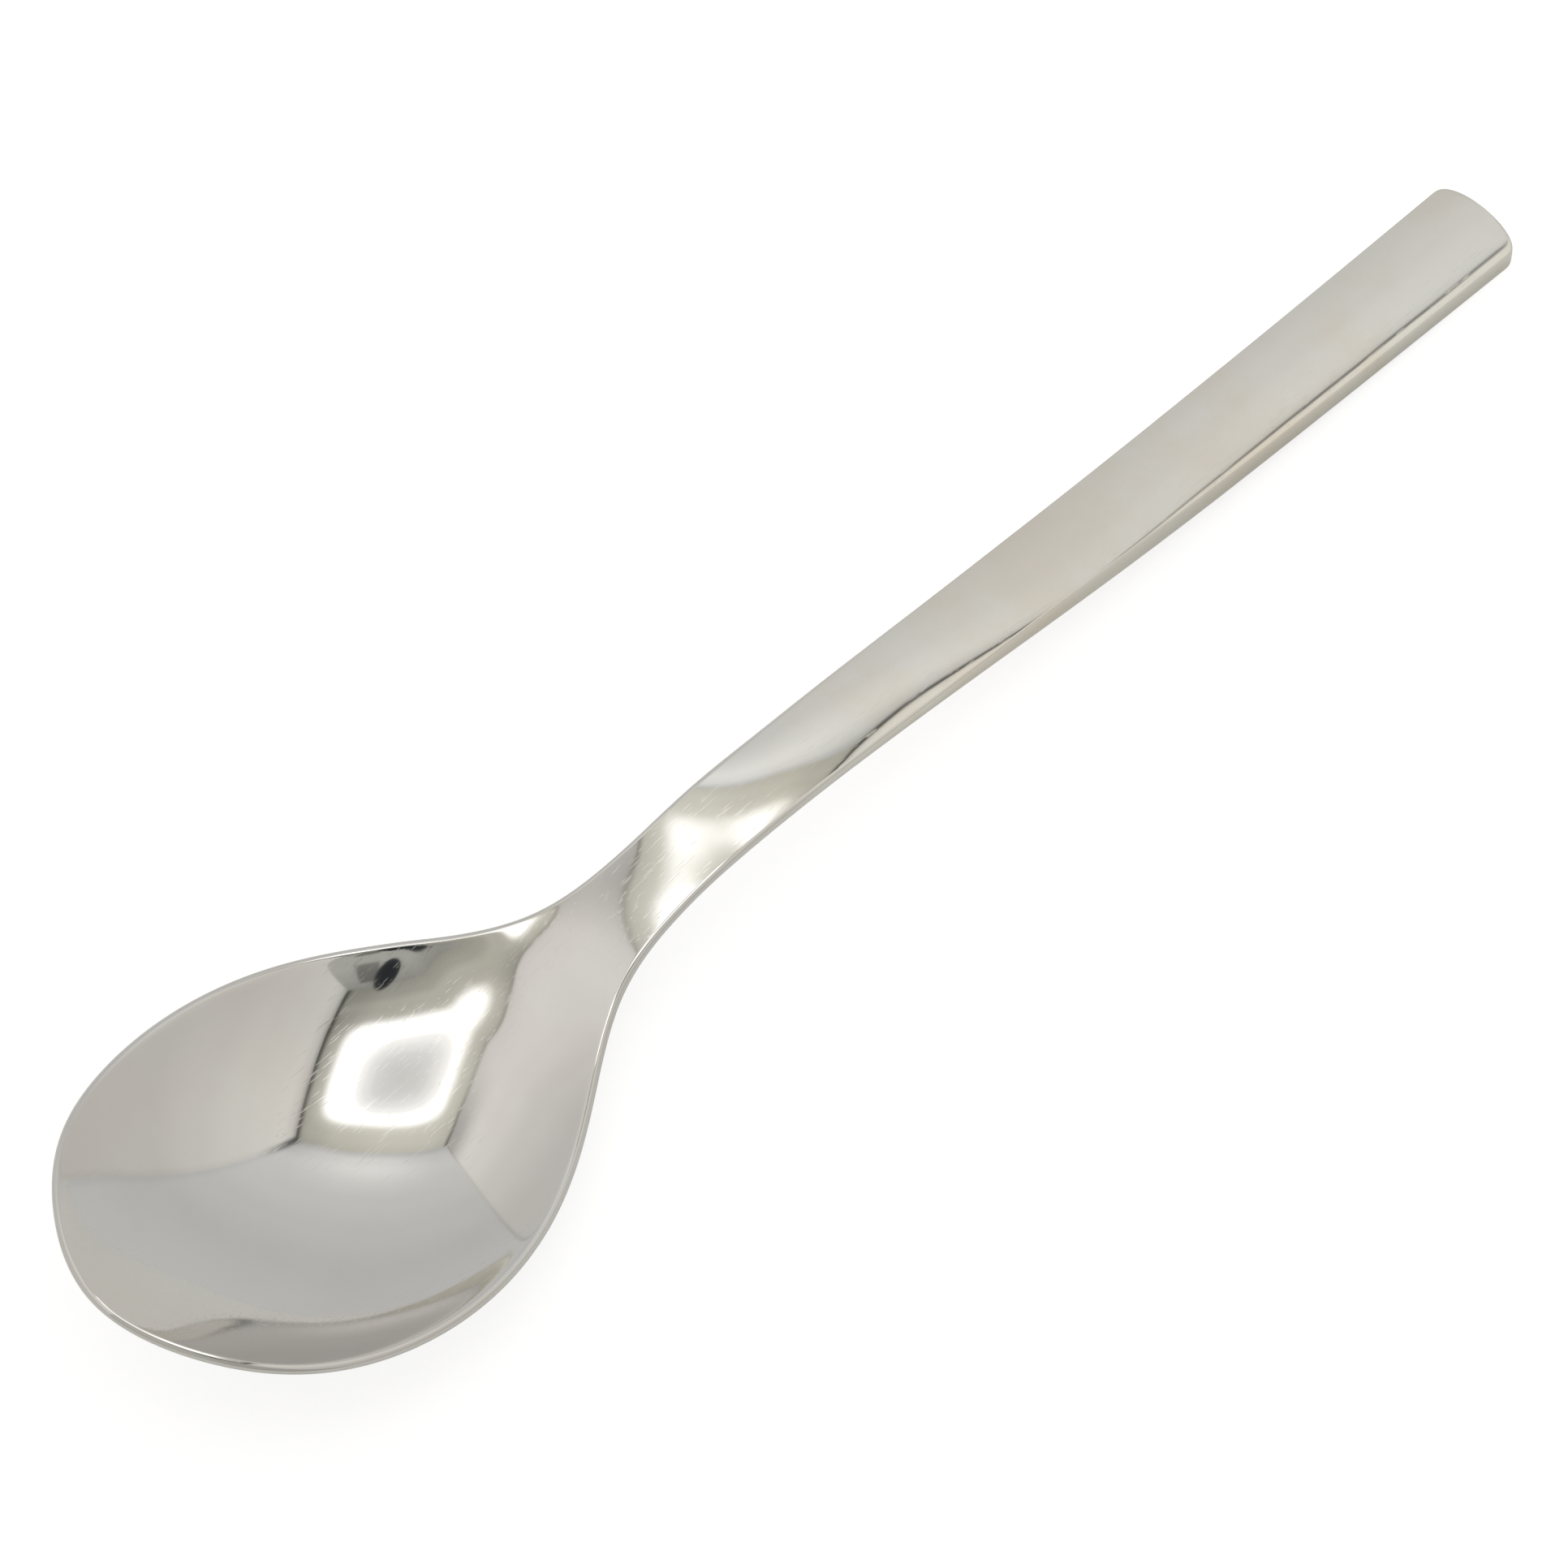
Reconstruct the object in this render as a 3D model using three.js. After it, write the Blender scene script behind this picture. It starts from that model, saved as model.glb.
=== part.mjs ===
// A small polished metal spoon: a thin dished bowl and a solid handle, joined end to end in the neck.
// Millimetres, +Z up. The spoon lies bowl up on the plane Z = 0, as it rests on a table.
// X runs from the tip of the bowl to the end of the handle, and Y = 0 is the plane of symmetry.

import * as THREE from 'three';
import { mergeVertices } from 'three/addons/utils/BufferGeometryUtils.js';

// Driving dimensions in plan
const BOWL_LENGTH = 62; // tip of the bowl to the joint in the neck
const BOWL_WIDTH = 33.6; // at the widest section
const NECK_WIDTH = 6.82; // at the joint, the narrowest section
const HANDLE_LENGTH = 84; // joint to the end of the handle
const END_WIDTH = 8.36; // where the bowed end of the handle starts
const END_BOW = 2; // length of the bowed end with its rounded corners

// Driving dimensions in section
const BOWL_DEPTH = 5.8; // rim to the inside of the bowl, at the widest section
const BOWL_WALL = 1.15; // wall at the bottom of the bowl
const RIM_THICKNESS = 0.95; // height of the rounded rim, which runs on along the edges of the neck
const RIM_ROUNDING = 0.45; // how far the rim's round edge reaches inwards
const NECK_BELLY = 1.25; // how far the underside of the neck swells below its thin edges
const END_THICKNESS = 2.3; // height of the handle's sides at its end
const END_ROUNDING = 0.45; // reach of the softened sides of the handle
const NECK_CROWN = 0.21; // how far the top of the neck falls from its middle over half the neck's width
const SHOULDER_CROWN = 0.47; // the same fall where the handle begins to run down
const END_CROWN = 0.1; // the same fall at the end of the handle

// Driving dimensions of the side view: heights above the table of the line along the middle of the top
const TIP_HEIGHT = 14.7; // at the tip of the bowl
const FRONT_HEIGHT = 6.62; // on the way down into the bowl
const HEEL_HEIGHT = 3.19; // at the back of the bowl's bottom
const CLIMB_HEIGHT = 5.39; // where the inside of the bowl climbs steepest
const NECK_HEIGHT = 7.32; // at the start of the neck
const JOINT_HEIGHT = 8.67; // at the joint, close to the highest point of the neck
const SHOULDER_HEIGHT = 7.88; // where the handle begins its long fall
const HANDLE_HEIGHT = 4.31; // near the middle of the handle
const STANDING_FLAT = 0.12; // height worn off the underside where the spoon stands

// Shape of the bowl's outline: shares of the bowl's length, and of its half width up to the widest section
const WIDEST_AT = 0.315;
const FRONT_OUTLINE = [[0, 0], [0.042, 0.452], [0.145, 0.829]];
// Behind the widest section the width falls to the neck: shares of the length, and of what is left to fall
const BACK_OUTLINE = [[0.484, 0.873], [0.629, 0.497], [0.758, 0.113], [0.871, 0.0125]];
// Shares of the bowl's length where the side view's heights are measured
const FRONT_AT = 0.161;
const LOWEST_AT = 0.452; // the bowl stands on the table here
const HEEL_AT = 0.645;
const CLIMB_AT = 0.742;
const NECK_AT = 0.839;
// Shares of the handle's length where the side view's heights are measured
const SHOULDER_AT = 0.179;
const HANDLE_AT = 0.571;
// Shares of the bowl's length between which the thin wall grows to the solid neck
const THICKEN_FROM = 0.613;
const THICKEN_TO = 0.903;
// Shares of the bowl's length between which the hollow gives way to the neck's crown, which sets in later
const HOLLOW_FADES_FROM = 0.618;
const HOLLOW_FADES_TO = 0.89;
const CROWN_FROM = 0.698;
// Share of the handle's length where the shoulder's crown is reached
const FULL_CROWN_AT = 0.214;
// The thin edges of the neck grow to the handle's sides: shares of the bowl's and the handle's lengths
const SIDES_FROM = 0.887;
const SIDES_TO = 0.631;

// Evenness of the edge sections: 2 is an ellipse, and more is closer to a square with round corners
const ROUND_EDGE = 2;
const SQUARE_EDGE = 4;
// How much steeper than a parabola the inside of the bowl rises to the rim
const WALL_STEEPNESS = 0.15;
// How softly the inside of the bowl rolls into the rim, as a share of its depth
const RIM_ROLL = 0.04;
// Exponent of the bowed end's outline along the handle
const END_POWER = 3;

// Fineness of the faceted surface
const STEPS_PER_OUTLINE_KNOT = 6;
const HANDLE_STEPS = 18;
const END_STEPS = 7;
const FACE_STEPS = 13; // from the middle of the top or underside to its edge
const EDGE_STEPS = 6; // around the edge, from the top to the underside

// Values worked out from the driving dimensions
const LENGTH = BOWL_LENGTH + HANDLE_LENGTH;
const BOWL_HALF = BOWL_WIDTH / 2;
const NECK_HALF = NECK_WIDTH / 2;
const END_HALF = END_WIDTH / 2;
const END_START = LENGTH - END_BOW;
const FULL_CROWN_X = BOWL_LENGTH + FULL_CROWN_AT * HANDLE_LENGTH;
const LOWEST_HEIGHT = BOWL_WALL - STANDING_FLAT;
const END_FALL = END_CROWN * ((END_HALF - END_ROUNDING) / NECK_HALF) ** 2;
const END_HEIGHT = END_THICKNESS + END_FALL - STANDING_FLAT;

// Smooth step from 0 at start to 1 at end
function ease(x, start, end) {
  return THREE.MathUtils.smoothstep(x, start, end);
}

// Smooth curve through knots [at, value]: returns its value and slope. The ends are free of bend,
// unless a slope is given for the start.
function spline(knots, startSlope = null) {
  const last = knots.length - 1;
  const bend = new Array(knots.length).fill(0);
  const carry = new Array(knots.length).fill(0);
  const gap = (i) => knots[i + 1][0] - knots[i][0];
  const chordSlope = (i) => (knots[i + 1][1] - knots[i][1]) / gap(i);
  if (startSlope !== null) {
    carry[0] = -0.5;
    bend[0] = (3 / gap(0)) * (chordSlope(0) - startSlope);
  }
  for (let i = 1; i < last; i++) {
    const span = gap(i - 1) + gap(i);
    const share = gap(i - 1) / span;
    const pivot = share * carry[i - 1] + 2;
    carry[i] = (share - 1) / pivot;
    bend[i] = ((6 * (chordSlope(i) - chordSlope(i - 1))) / span - share * bend[i - 1]) / pivot;
  }
  for (let i = last - 1; i >= 0; i--) {
    bend[i] += carry[i] * bend[i + 1];
  }
  return (at) => {
    let i = 0;
    while (i < last - 1 && at > knots[i + 1][0]) {
      i++;
    }
    const h = gap(i);
    const b = (at - knots[i][0]) / h;
    const a = 1 - b;
    const bow = ((a ** 3 - a) * bend[i] + (b ** 3 - b) * bend[i + 1]) * ((h * h) / 6);
    const tilt = ((3 * b * b - 1) * bend[i + 1] - (3 * a * a - 1) * bend[i]) * (h / 6);
    return { value: a * knots[i][1] + b * knots[i + 1][1] + bow, slope: chordSlope(i) + tilt };
  };
}

// Knots of the plan outline on the +Y side, from the tip to where the bowed end starts
function outlineKnots() {
  const front = FRONT_OUTLINE.map(([along, across]) => [along * BOWL_LENGTH, across * BOWL_HALF]);
  const back = BACK_OUTLINE.map(([along, across]) => [
    along * BOWL_LENGTH,
    THREE.MathUtils.lerp(NECK_HALF, BOWL_HALF, across),
  ]);
  return [
    ...front,
    [WIDEST_AT * BOWL_LENGTH, BOWL_HALF],
    ...back,
    [BOWL_LENGTH, NECK_HALF],
    [END_START, END_HALF],
  ];
}

// Stations along the outline, each with its outward normal in plan. One of them lies at the joint.
function outlineStations() {
  const knots = outlineKnots();
  const at = [0];
  for (let i = 1; i < knots.length; i++) {
    at.push(at[i - 1] + Math.sqrt(Math.hypot(knots[i][0] - knots[i - 1][0], knots[i][1] - knots[i - 1][1])));
  }
  const alongCurve = spline(knots.map(([x], i) => [at[i], x]), 0);
  const acrossCurve = spline(knots.map(([, y], i) => [at[i], y]));
  const stations = [];
  for (let i = 0; i < knots.length - 1; i++) {
    const onHandle = i === knots.length - 2;
    const steps = onHandle ? HANDLE_STEPS : STEPS_PER_OUTLINE_KNOT;
    for (let step = 0; step < steps; step++) {
      const t = THREE.MathUtils.lerp(at[i], at[i + 1], step / steps);
      const along = alongCurve(t);
      const across = acrossCurve(t);
      const normal = new THREE.Vector2(-across.slope, along.slope).normalize();
      stations.push({ x: along.value, y: across.value, normal, onHandle });
    }
  }
  for (let step = 0; step <= END_STEPS; step++) {
    const angle = (step / END_STEPS) * (Math.PI / 2);
    const reach = Math.sin(angle) ** (2 / END_POWER);
    const width = step === END_STEPS ? 0 : Math.cos(angle);
    const rake = (END_POWER / 2) * reach ** (END_POWER - 1) * (END_HALF / END_BOW);
    const normal = new THREE.Vector2(rake, width).normalize();
    stations.push({ x: END_START + reach * END_BOW, y: width * END_HALF, normal, onHandle: true });
  }
  return stations;
}

// Height of the line along the middle of the top, seen from the side
const keelHeight = spline([
  [0, TIP_HEIGHT],
  [FRONT_AT * BOWL_LENGTH, FRONT_HEIGHT],
  [LOWEST_AT * BOWL_LENGTH, LOWEST_HEIGHT],
  [HEEL_AT * BOWL_LENGTH, HEEL_HEIGHT],
  [CLIMB_AT * BOWL_LENGTH, CLIMB_HEIGHT],
  [NECK_AT * BOWL_LENGTH, NECK_HEIGHT],
  [BOWL_LENGTH, JOINT_HEIGHT],
  [BOWL_LENGTH + SHOULDER_AT * HANDLE_LENGTH, SHOULDER_HEIGHT],
  [BOWL_LENGTH + HANDLE_AT * HANDLE_LENGTH, HANDLE_HEIGHT],
  [LENGTH, END_HEIGHT],
]);

// Everything that a cross-section needs, at x from the tip and with the outline at half width y.
// The hollow and the wall's swell grow with the square of the half width.
function sectionAt(x, y) {
  const toNeck = ease(x, THICKEN_FROM * BOWL_LENGTH, THICKEN_TO * BOWL_LENGTH);
  const toSolid = ease(x, HOLLOW_FADES_FROM * BOWL_LENGTH, HOLLOW_FADES_TO * BOWL_LENGTH);
  const toCrown = ease(x, CROWN_FROM * BOWL_LENGTH, HOLLOW_FADES_TO * BOWL_LENGTH);
  const toShoulder = ease(x, BOWL_LENGTH, FULL_CROWN_X);
  const toEnd = ease(x, FULL_CROWN_X, END_START);
  const toSides = ease(x, SIDES_FROM * BOWL_LENGTH, BOWL_LENGTH + SIDES_TO * HANDLE_LENGTH);
  const bowlShare = (y / BOWL_HALF) ** 2;
  const hollow = BOWL_DEPTH * bowlShare * (1 - toSolid);
  const swell = (BOWL_WALL - RIM_THICKNESS) * bowlShare * (1 - toNeck) + NECK_BELLY * toNeck * (1 - toSides);
  const handleCrown = (SHOULDER_CROWN - NECK_CROWN) * toShoulder + (END_CROWN - SHOULDER_CROWN) * toEnd;
  return {
    keel: keelHeight(x).value,
    thickness: THREE.MathUtils.lerp(RIM_THICKNESS, END_THICKNESS, toSides),
    hollow,
    bend: (NECK_CROWN * toCrown + handleCrown) / NECK_HALF ** 2,
    belly: hollow + swell,
    rounding: THREE.MathUtils.lerp(RIM_ROUNDING, END_ROUNDING, toSides),
    power: THREE.MathUtils.lerp(ROUND_EDGE, SQUARE_EDGE, toSides),
  };
}

// Share of the hollow at a share of the half width: a steepened parabola that rolls over softly at the rim
function hollowShare(across) {
  const rolled = (share) => Math.hypot(share, RIM_ROLL) - RIM_ROLL;
  return rolled((1 - across * across) * (1 + WALL_STEEPNESS * across * across)) / rolled(1);
}

// Half of a cross-section on the +Y side: middle of the top, round the edge, middle of the underside.
// The crown bends down from the middle and on over the edge, and fades out on the edge's lower half.
function halfSection({ x, y, normal }) {
  const { keel, thickness, hollow, bend, belly, rounding, power } = sectionAt(x, y);
  const insetX = x - normal.x * rounding;
  const insetY = Math.max(y - normal.y * rounding, 0);
  const top = keel + hollow - bend * insetY ** 2;
  const points = [];
  const add = (px, py, pz) => points.push(new THREE.Vector3(px - LENGTH / 2, py, Math.max(pz, 0)));
  for (let step = 0; step <= FACE_STEPS; step++) {
    const across = step / FACE_STEPS;
    add(insetX, across * insetY, keel + hollow * (1 - hollowShare(across)) - bend * (across * insetY) ** 2);
  }
  for (let step = 1; step < EDGE_STEPS; step++) {
    const angle = (0.5 - step / EDGE_STEPS) * Math.PI;
    const out = rounding * Math.cos(angle) ** (2 / power);
    const up = Math.sign(angle) * Math.abs(Math.sin(angle)) ** (2 / power);
    const fall = bend * ((insetY + out) ** 2 - insetY ** 2) * ((1 + up) / 2);
    add(insetX + normal.x * out, insetY + normal.y * out, top - fall + (thickness / 2) * (up - 1));
  }
  for (let step = FACE_STEPS; step >= 0; step--) {
    const across = step / FACE_STEPS;
    add(insetX, across * insetY, top - thickness - belly * (1 - across * across));
  }
  return points;
}

// Whole cross-section as a closed ring, from the middle of the top round by +Y and back by -Y
function ring(station) {
  const half = halfSection(station);
  const mirrored = half.slice(1, -1).reverse();
  return [...half, ...mirrored.map((p) => new THREE.Vector3(p.x, -p.y, p.z))];
}

// Closed skin over rings that stand one behind the other along X. A flat section closes an open end.
function loft(rings, openEnd) {
  const around = rings[0].length;
  const positions = rings.flat().flatMap((p) => [p.x, p.y, p.z]);
  const triangles = [];
  for (let i = 0; i < rings.length - 1; i++) {
    for (let j = 0; j < around; j++) {
      const a = i * around + j;
      const b = i * around + ((j + 1) % around);
      triangles.push([a, a + around, b], [b, a + around, b + around]);
    }
  }
  const first = openEnd === 'start' ? 0 : (rings.length - 1) * around;
  const outline = rings[first / around].map((p) => new THREE.Vector2(p.y, p.z));
  for (const [a, b, c] of THREE.ShapeUtils.triangulateShape(outline, [])) {
    const face = [first + a, first + b, first + c];
    const turn = outline[b].clone().sub(outline[a]).cross(outline[c].clone().sub(outline[a]));
    const facesPlusX = turn > 0;
    triangles.push(facesPlusX === (openEnd === 'end') ? face : face.reverse());
  }
  const geometry = new THREE.BufferGeometry();
  geometry.setAttribute('position', new THREE.Float32BufferAttribute(positions, 3));
  geometry.setIndex(triangles.flat());
  return dropFlatTriangles(mergeVertices(geometry));
}

// Removes the triangles that shrink to a line where a ring closes on the plane of symmetry
function dropFlatTriangles(geometry) {
  const index = geometry.getIndex().array;
  const kept = [];
  for (let i = 0; i < index.length; i += 3) {
    const [a, b, c] = [index[i], index[i + 1], index[i + 2]];
    if (a !== b && b !== c && c !== a) {
      kept.push(a, b, c);
    }
  }
  geometry.setIndex(kept);
  geometry.computeVertexNormals();
  return geometry;
}

// The bowl and the handle share the section at the joint, so their flat faces meet exactly
function makeSpoon() {
  const stations = outlineStations();
  const joint = stations.findIndex((station) => station.onHandle);
  stations[joint].normal.set(0, 1); // the section at the joint is flat and square to X
  const bowlRings = stations.slice(0, joint + 1).map(ring);
  const handleRings = stations.slice(joint).map(ring);

  const bowlMetal = new THREE.MeshStandardMaterial({ color: 0xd2d1cc, roughness: 0.08, metalness: 1 });
  const bowl = new THREE.Mesh(loft(bowlRings, 'end'), bowlMetal);
  bowl.name = 'bowl';

  const handleMetal = new THREE.MeshStandardMaterial({ color: 0xcfccc3, roughness: 0.14, metalness: 1 });
  const handle = new THREE.Mesh(loft(handleRings, 'start'), handleMetal);
  handle.name = 'handle';

  const spoon = new THREE.Group();
  spoon.add(bowl, handle);
  return spoon;
}

export default makeSpoon();
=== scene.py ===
"""A polished metal spoon, lying bowl up in a white light tent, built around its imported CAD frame."""

import math

import bpy
import numpy as np
from mathutils import Matrix, Vector


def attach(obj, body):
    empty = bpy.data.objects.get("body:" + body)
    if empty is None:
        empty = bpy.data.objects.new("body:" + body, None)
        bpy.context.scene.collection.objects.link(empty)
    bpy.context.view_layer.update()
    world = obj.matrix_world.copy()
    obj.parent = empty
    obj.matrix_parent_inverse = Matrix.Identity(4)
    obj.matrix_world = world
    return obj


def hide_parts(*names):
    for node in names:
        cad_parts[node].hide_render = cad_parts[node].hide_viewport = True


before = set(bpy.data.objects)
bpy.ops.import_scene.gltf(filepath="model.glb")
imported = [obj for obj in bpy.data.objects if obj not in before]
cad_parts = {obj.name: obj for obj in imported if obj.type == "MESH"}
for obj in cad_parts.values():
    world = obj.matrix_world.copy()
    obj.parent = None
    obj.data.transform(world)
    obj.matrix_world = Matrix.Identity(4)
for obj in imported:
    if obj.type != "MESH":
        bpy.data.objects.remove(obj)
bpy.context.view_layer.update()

# Sizes of the spoon in millimetres, as in the CAD source unless a comment says otherwise. Plan first
BOWL_LENGTH = 62.0
BOWL_WIDTH = 33.6
NECK_WIDTH = 6.82
HANDLE_LENGTH = 84.0
END_WIDTH = 8.36
END_BOW = 2.0
# Sections
BOWL_DEPTH = 5.8
BOWL_WALL = 1.15
RIM_THICKNESS = 0.95
RIM_ROUNDING = 0.45
NECK_BELLY = 1.25
END_THICKNESS = 2.3
END_ROUNDING = 0.45
NECK_CROWN = 0.21
SHOULDER_CROWN = 0.47
END_CROWN = 0.1
# Side view: heights above the table of the line along the middle of the top
TIP_HEIGHT = 14.7
FRONT_HEIGHT = 6.62
HEEL_HEIGHT = 3.19
CLIMB_HEIGHT = 5.39
NECK_HEIGHT = 7.32
JOINT_HEIGHT = 8.67
SHOULDER_HEIGHT = 7.88
HANDLE_HEIGHT = 4.31
STANDING_FLAT = 0.12
# Shares of the bowl's length and half width along the outline, in front of and behind the widest section
WIDEST_AT = 0.315
FRONT_OUTLINE = [(0, 0), (0.042, 0.452), (0.145, 0.829)]
BACK_OUTLINE = [(0.484, 0.873), (0.629, 0.497), (0.758, 0.113), (0.871, 0.0125)]
# Shares of the bowl's or the handle's length where the side view's heights are measured
FRONT_AT = 0.161
LOWEST_AT = 0.452
HEEL_AT = 0.645
CLIMB_AT = 0.742
NECK_AT = 0.839
SHOULDER_AT = 0.179
HANDLE_AT = 0.571
# Shares of the bowl's length over which the wall thickens to the neck, and the hollow fades to the crown
THICKEN_FROM, THICKEN_TO = 0.613, 0.903
HOLLOW_FADES_FROM, HOLLOW_FADES_TO = 0.618, 0.89
CROWN_FROM = 0.698
# Share of the handle's length where the shoulder's crown is reached
FULL_CROWN_AT = 0.214
# The thin edges of the neck grow to the handle's sides: shares of the bowl's and the handle's lengths
SIDES_FROM, SIDES_TO = 0.887, 0.631
# Exponents of the edge sections and of the bowed end, and the hollow's steepness at the rim
ROUND_EDGE = 2.0
SQUARE_EDGE = 4.0
END_POWER = 3.0
WALL_STEEPNESS = 0.15
# How softly the hollow rolls over at the rim, slightly more sharply than in the solid
RIM_ROLL = 0.03
# Slight unevenness of the hand-finished neck, which the solid doesn't have: distances from the bowl's tip,
# with the turn in radians, the rise, and the extra bend across per millimetre
NECK_TURNS = [
    (40, 0), (45, 0.005), (49, -0.04), (53, -0.065), (57, -0.03), (62, 0.06),
    (68, 0.035), (76, 0.03), (90, -0.02), (115, 0), (125, 0),
]
NECK_RISES = [
    (38, 0), (43, -0.06), (47, 0.125), (51, 0.055), (55, -0.06), (60, 0.015),
    (66, 0.05), (72, 0.05), (80, 0.055), (92, 0.035), (115, 0), (125, 0),
]
NECK_BENDS = [
    (42, 0), (48, 0.004), (53, -0.008), (58, -0.011), (64, 0.001),
    (74, -0.009), (90, -0.006), (115, 0), (125, 0),
]
# The handle's edges are crisper than in the solid, and the polish rounds its top off just before them. The
# last value is the least half width that this fall is measured by, at the bowed end
HANDLE_EDGE_ROUNDING = 0.16
EDGE_FALL = 0.03
EDGE_FALL_POWER = 8
LEAST_HALF = 1.0
# The crown of the handle's top behind the shoulder, more even along it than in the solid, and the share of
# the handle's length where it is reached
HANDLE_CROWN = 0.24
HANDLE_CROWN_AT = 0.42
# Fineness of the smooth surface
STEPS_PER_OUTLINE_KNOT = 22
HANDLE_STEPS = 130
END_STEPS = 26
FACE_STEPS = 40
EDGE_STEPS = 16
# In metres: points of the skin closer than this are one point
WELD = 1e-8
# Digits after the point to which two pieces' points are the same place
PLACE_DIGITS = 7

LENGTH = BOWL_LENGTH + HANDLE_LENGTH
BOWL_HALF = BOWL_WIDTH / 2
NECK_HALF = NECK_WIDTH / 2
END_HALF = END_WIDTH / 2
END_START = LENGTH - END_BOW
FULL_CROWN_X = BOWL_LENGTH + FULL_CROWN_AT * HANDLE_LENGTH
HANDLE_CROWN_X = BOWL_LENGTH + HANDLE_CROWN_AT * HANDLE_LENGTH
LOWEST_HEIGHT = BOWL_WALL - STANDING_FLAT
END_FALL = END_CROWN * ((END_HALF - END_ROUNDING) / NECK_HALF) ** 2
END_HEIGHT = END_THICKNESS + END_FALL - STANDING_FLAT
MM = 0.001


def ease(x, start, end):
    """Smooth step from 0 at start to 1 at end."""
    t = np.clip((x - start) / (end - start), 0, 1)
    return t * t * (3 - 2 * t)


def spline(at, values, start_slope=None):
    """Smooth curve through knots: a function that gives value and slope. The ends are free of bend
    unless a slope is given for the start."""
    at, values = np.asarray(at, float), np.asarray(values, float)
    last = len(at) - 1
    gap = np.diff(at)
    chord = np.diff(values) / gap
    system, right = np.eye(last + 1), np.zeros(last + 1)
    for i in range(1, last):
        system[i, i - 1 : i + 2] = gap[i - 1], 2 * (gap[i - 1] + gap[i]), gap[i]
        right[i] = 6 * (chord[i] - chord[i - 1])
    if start_slope is not None:
        system[0, :2] = 2 * gap[0], gap[0]
        right[0] = 6 * (chord[0] - start_slope)
    bend = np.linalg.solve(system, right)

    def curve(t):
        i = np.clip(np.searchsorted(at, t, side="left") - 1, 0, last - 1)
        b = (t - at[i]) / gap[i]
        a = 1 - b
        bow = ((a**3 - a) * bend[i] + (b**3 - b) * bend[i + 1]) * gap[i] ** 2 / 6
        tilt = ((3 * b * b - 1) * bend[i + 1] - (3 * a * a - 1) * bend[i]) * gap[i] / 6
        return a * values[i] + b * values[i + 1] + bow, chord[i] + tilt

    return curve


def outline_stations():
    """Points x, y of the plan outline on the +Y side, their outward normals, and the joint's station."""
    knots = [(a * BOWL_LENGTH, b * BOWL_HALF) for a, b in FRONT_OUTLINE]
    knots.append((WIDEST_AT * BOWL_LENGTH, BOWL_HALF))
    knots += [(a * BOWL_LENGTH, NECK_HALF + (BOWL_HALF - NECK_HALF) * b) for a, b in BACK_OUTLINE]
    knots += [(BOWL_LENGTH, NECK_HALF), (END_START, END_HALF)]
    knots = np.array(knots, float)
    at = np.r_[0, np.cumsum(np.sqrt(np.hypot(*np.diff(knots, axis=0).T)))]
    spans = len(knots) - 1
    steps = [STEPS_PER_OUTLINE_KNOT] * (spans - 1) + [HANDLE_STEPS]
    t = np.concatenate([np.linspace(at[i], at[i + 1], steps[i], endpoint=False) for i in range(spans)])
    x, along_slope = spline(at, knots[:, 0], 0)(t)
    y, across_slope = spline(at, knots[:, 1])(t)
    normal = np.stack([-across_slope, along_slope], 1)
    angle = np.linspace(0, math.pi / 2, END_STEPS + 1)
    reach = np.sin(angle) ** (2 / END_POWER)
    width = np.cos(angle)
    width[-1] = 0
    rake = END_POWER / 2 * reach ** (END_POWER - 1) * END_HALF / END_BOW
    x = np.r_[x, END_START + reach * END_BOW]
    y = np.r_[y, width * END_HALF]
    normal = np.r_[normal, np.stack([rake, width], 1)]
    normal /= np.linalg.norm(normal, axis=1, keepdims=True)
    joint = STEPS_PER_OUTLINE_KNOT * (spans - 1)
    normal[joint] = (0, 1)
    return x, y, normal, joint


def keel_height(x):
    """Height of the line along the middle of the top, seen from the side."""
    at = [share * BOWL_LENGTH for share in (0, FRONT_AT, LOWEST_AT, HEEL_AT, CLIMB_AT, NECK_AT)]
    at += [BOWL_LENGTH + share * HANDLE_LENGTH for share in (0, SHOULDER_AT, HANDLE_AT, 1)]
    heights = [TIP_HEIGHT, FRONT_HEIGHT, LOWEST_HEIGHT, HEEL_HEIGHT, CLIMB_HEIGHT, NECK_HEIGHT]
    heights += [JOINT_HEIGHT, SHOULDER_HEIGHT, HANDLE_HEIGHT, END_HEIGHT]
    return spline(at, heights)(x)[0]


def hollow_share(across):
    """Share of the hollow at a share of the half width: a steep parabola that rolls over at the rim."""
    def rolled(share):
        return np.hypot(share, RIM_ROLL) - RIM_ROLL

    return rolled((1 - across**2) * (1 + WALL_STEEPNESS * across**2)) / rolled(1.0)


def crown_bend(x, handle_crown, reached_at):
    """Bend of the crowned top across it, from the heel over the shoulder to the handle's own crown."""
    to_crown = ease(x, CROWN_FROM * BOWL_LENGTH, HOLLOW_FADES_TO * BOWL_LENGTH)
    to_shoulder = ease(x, BOWL_LENGTH, FULL_CROWN_X)
    to_handle = ease(x, FULL_CROWN_X, reached_at)
    crown = (SHOULDER_CROWN - NECK_CROWN) * to_shoulder + (handle_crown - SHOULDER_CROWN) * to_handle
    return (NECK_CROWN * to_crown + crown) / NECK_HALF**2


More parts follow.
